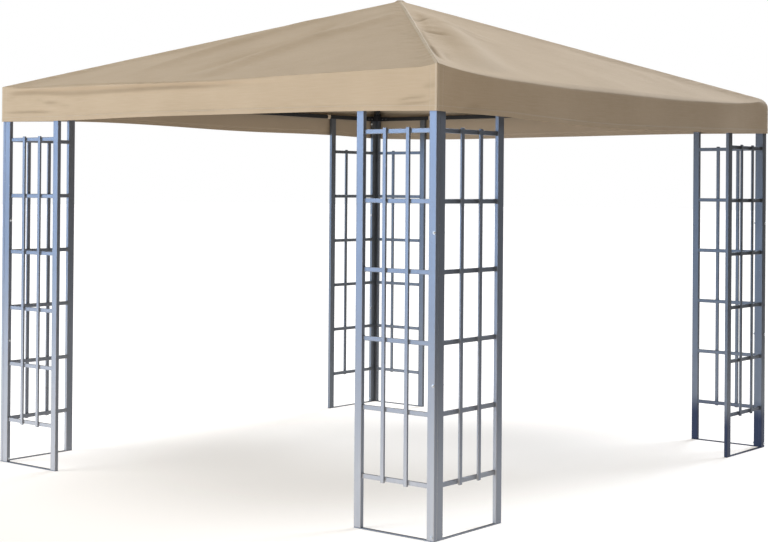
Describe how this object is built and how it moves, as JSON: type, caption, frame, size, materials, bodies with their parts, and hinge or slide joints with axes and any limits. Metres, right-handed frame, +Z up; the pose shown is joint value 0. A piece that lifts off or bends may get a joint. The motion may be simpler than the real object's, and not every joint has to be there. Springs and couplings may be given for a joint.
{
  "type": "garden gazebo",
  "caption": "Square garden gazebo: steel trellis legs at the corners, eave beams, hip rafters and a pyramid cloth canopy with a valance.",
  "frame": {"origin": "centre of the base on the ground", "axes": "+Z up, -Y towards the front, +X to the right of someone who looks at the front from outside"},
  "size_m": [3.016, 3.016, 2.5199],
  "materials": {
    "leg_paint": "smooth blue-grey powder coat with a soft sheen",
    "roof_frame_paint": "near-black powder coat, satin",
    "canopy_cloth": "matt sand-coloured coated polyester cloth with sewn hems"
  },
  "bodies": {
    "root": {"front_right_leg_front_corner_post": "leg_paint", "front_right_leg_front_end_post": "leg_paint", "front_right_leg_front_lattice": "leg_paint", "front_right_leg_right_corner_post": "leg_paint", "front_right_leg_right_end_post": "leg_paint", "front_right_leg_right_lattice": "leg_paint", "front_right_leg_foot_strap": "leg_paint", "front_right_bracket": "roof_frame_paint", "front_eave_beam": "roof_frame_paint", "front_right_hip_rafter": "roof_frame_paint", "front_canopy_panel": "canopy_cloth", "back_right_leg_right_corner_post": "leg_paint", "back_right_leg_right_end_post": "leg_paint", "back_right_leg_right_lattice": "leg_paint", "back_right_leg_back_corner_post": "leg_paint", "back_right_leg_back_end_post": "leg_paint", "back_right_leg_back_lattice": "leg_paint", "back_right_leg_foot_strap": "leg_paint", "back_right_bracket": "roof_frame_paint", "right_eave_beam": "roof_frame_paint", "back_right_hip_rafter": "roof_frame_paint", "right_canopy_panel": "canopy_cloth", "back_left_leg_back_corner_post": "leg_paint", "back_left_leg_back_end_post": "leg_paint", "back_left_leg_back_lattice": "leg_paint", "back_left_leg_left_corner_post": "leg_paint", "back_left_leg_left_end_post": "leg_paint", "back_left_leg_left_lattice": "leg_paint", "back_left_leg_foot_strap": "leg_paint", "back_left_bracket": "roof_frame_paint", "back_eave_beam": "roof_frame_paint", "back_left_hip_rafter": "roof_frame_paint", "back_canopy_panel": "canopy_cloth", "front_left_leg_left_corner_post": "leg_paint", "front_left_leg_left_end_post": "leg_paint", "front_left_leg_left_lattice": "leg_paint", "front_left_leg_front_corner_post": "leg_paint", "front_left_leg_front_end_post": "leg_paint", "front_left_leg_front_lattice": "leg_paint", "front_left_leg_foot_strap": "leg_paint", "front_left_bracket": "roof_frame_paint", "left_eave_beam": "roof_frame_paint", "front_left_hip_rafter": "roof_frame_paint", "left_canopy_panel": "canopy_cloth", "peak_hub": "roof_frame_paint"}
  },
  "joints": []
}
